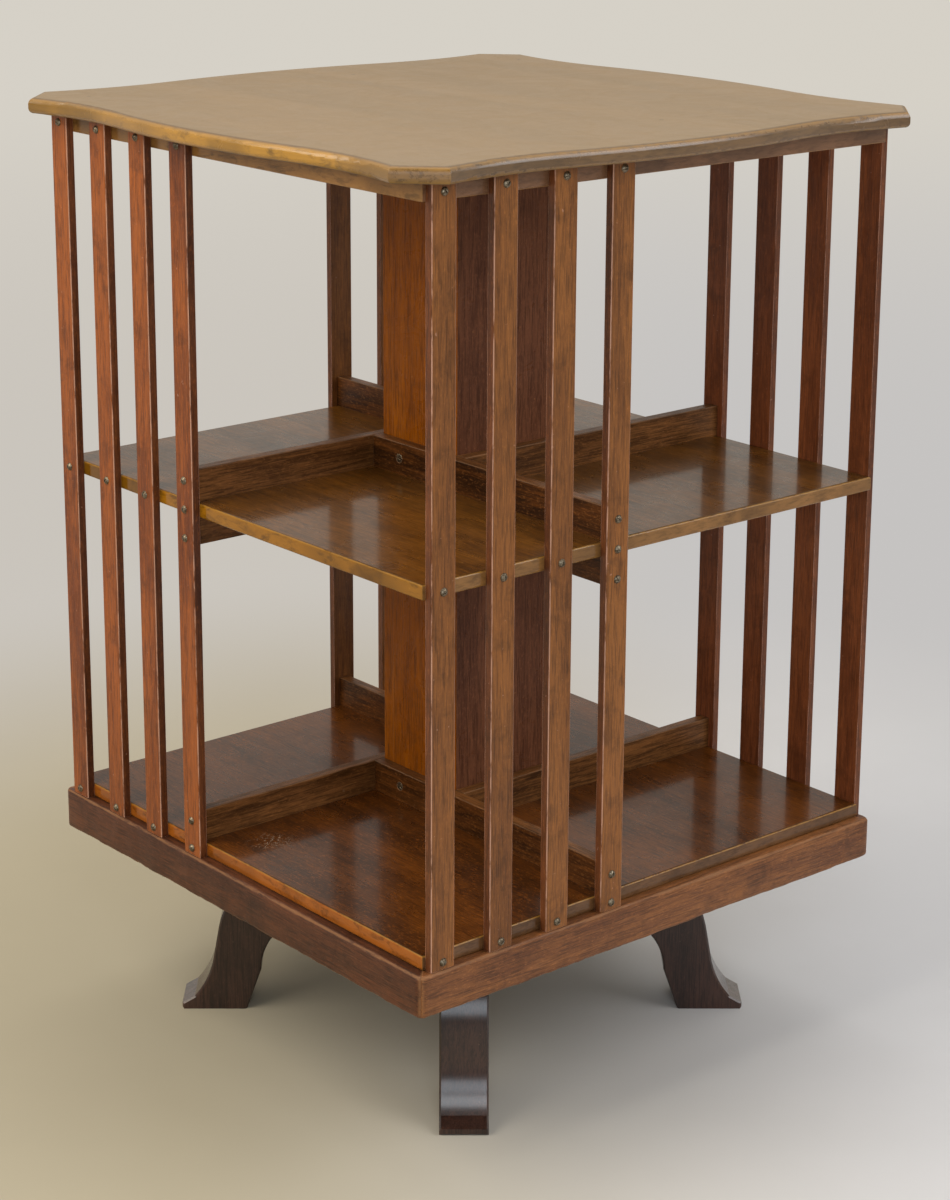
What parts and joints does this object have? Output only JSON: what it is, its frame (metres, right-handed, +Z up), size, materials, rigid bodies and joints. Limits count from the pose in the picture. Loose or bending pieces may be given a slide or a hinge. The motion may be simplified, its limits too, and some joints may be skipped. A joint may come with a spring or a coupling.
{
  "type": "revolving bookcase",
  "caption": "Square wooden revolving bookcase: a slatted case with book bays on all sides turns on a spindle in a splayed-leg stand.",
  "frame": {"origin": "on the floor, below the spindle's axis, at the centre of the part's footprint", "axes": "+Z up along the spindle; the case's four sides face -Y (front), +X (right), +Y (back) and -X (left)"},
  "size_m": [0.5478, 0.5478, 0.799],
  "materials": {
    "top_wood": "french polished mahogany, sun-faded",
    "slat_wood": "satin mahogany",
    "shelf_wood": "glossy mahogany with worn edges",
    "fence_wood": "satin dark mahogany",
    "column_wood": "glossy mahogany",
    "plinth_wood": "satin mahogany",
    "stand_wood": "dark stained, semi-gloss",
    "beech": "bare",
    "steel": "dull",
    "iron": "rough",
    "brass": "machined",
    "dark_screw": "dark bronzed"
  },
  "bodies": {
    "base": {"leg_front_left": "stand_wood", "leg_front_right": "stand_wood", "leg_back_right": "stand_wood", "leg_back_left": "stand_wood", "cross_bearer_upper": "stand_wood", "cross_bearer_lower": "stand_wood", "leg_dowels": "beech", "spindle_flange": "iron", "flange_screws": "steel", "spindle": "steel", "thrust_washer": "brass"},
    "case": {"plinth_rail_front": "plinth_wood", "column_board_front": "column_wood", "shelf_board_front": "shelf_wood", "shelf_fence_front": "fence_wood", "floor_fence_front": "fence_wood", "slat_front_1": "slat_wood", "slat_front_2": "slat_wood", "slat_front_3": "slat_wood", "slat_front_4": "slat_wood", "plinth_rail_right": "plinth_wood", "column_board_right": "column_wood", "shelf_board_right": "shelf_wood", "shelf_fence_right": "fence_wood", "floor_fence_right": "fence_wood", "slat_right_1": "slat_wood", "slat_right_2": "slat_wood", "slat_right_3": "slat_wood", "slat_right_4": "slat_wood", "plinth_rail_back": "plinth_wood", "column_board_back": "column_wood", "shelf_board_back": "shelf_wood", "shelf_fence_back": "fence_wood", "floor_fence_back": "fence_wood", "slat_back_1": "slat_wood", "slat_back_2": "slat_wood", "slat_back_3": "slat_wood", "slat_back_4": "slat_wood", "plinth_rail_left": "plinth_wood", "column_board_left": "column_wood", "shelf_board_left": "shelf_wood", "shelf_fence_left": "fence_wood", "floor_fence_left": "fence_wood", "slat_left_1": "slat_wood", "slat_left_2": "slat_wood", "slat_left_3": "slat_wood", "slat_left_4": "slat_wood", "hub_rail": "beech", "socket_plate": "iron", "socket_screws": "steel", "bottom_board": "shelf_wood", "bearing_block": "beech", "upper_bush": "brass", "sub_top": "shelf_wood", "top_plate": "top_wood", "top_screws": "steel", "slat_screws": "dark_screw", "fence_screws": "steel"}
  },
  "joints": [
    {"name": "case_spin", "type": "hinge", "parent": "base", "child": "case", "pos_m": [0, 0, 0.156], "axis": [0, 0, 1], "continuous": true}
  ]
}
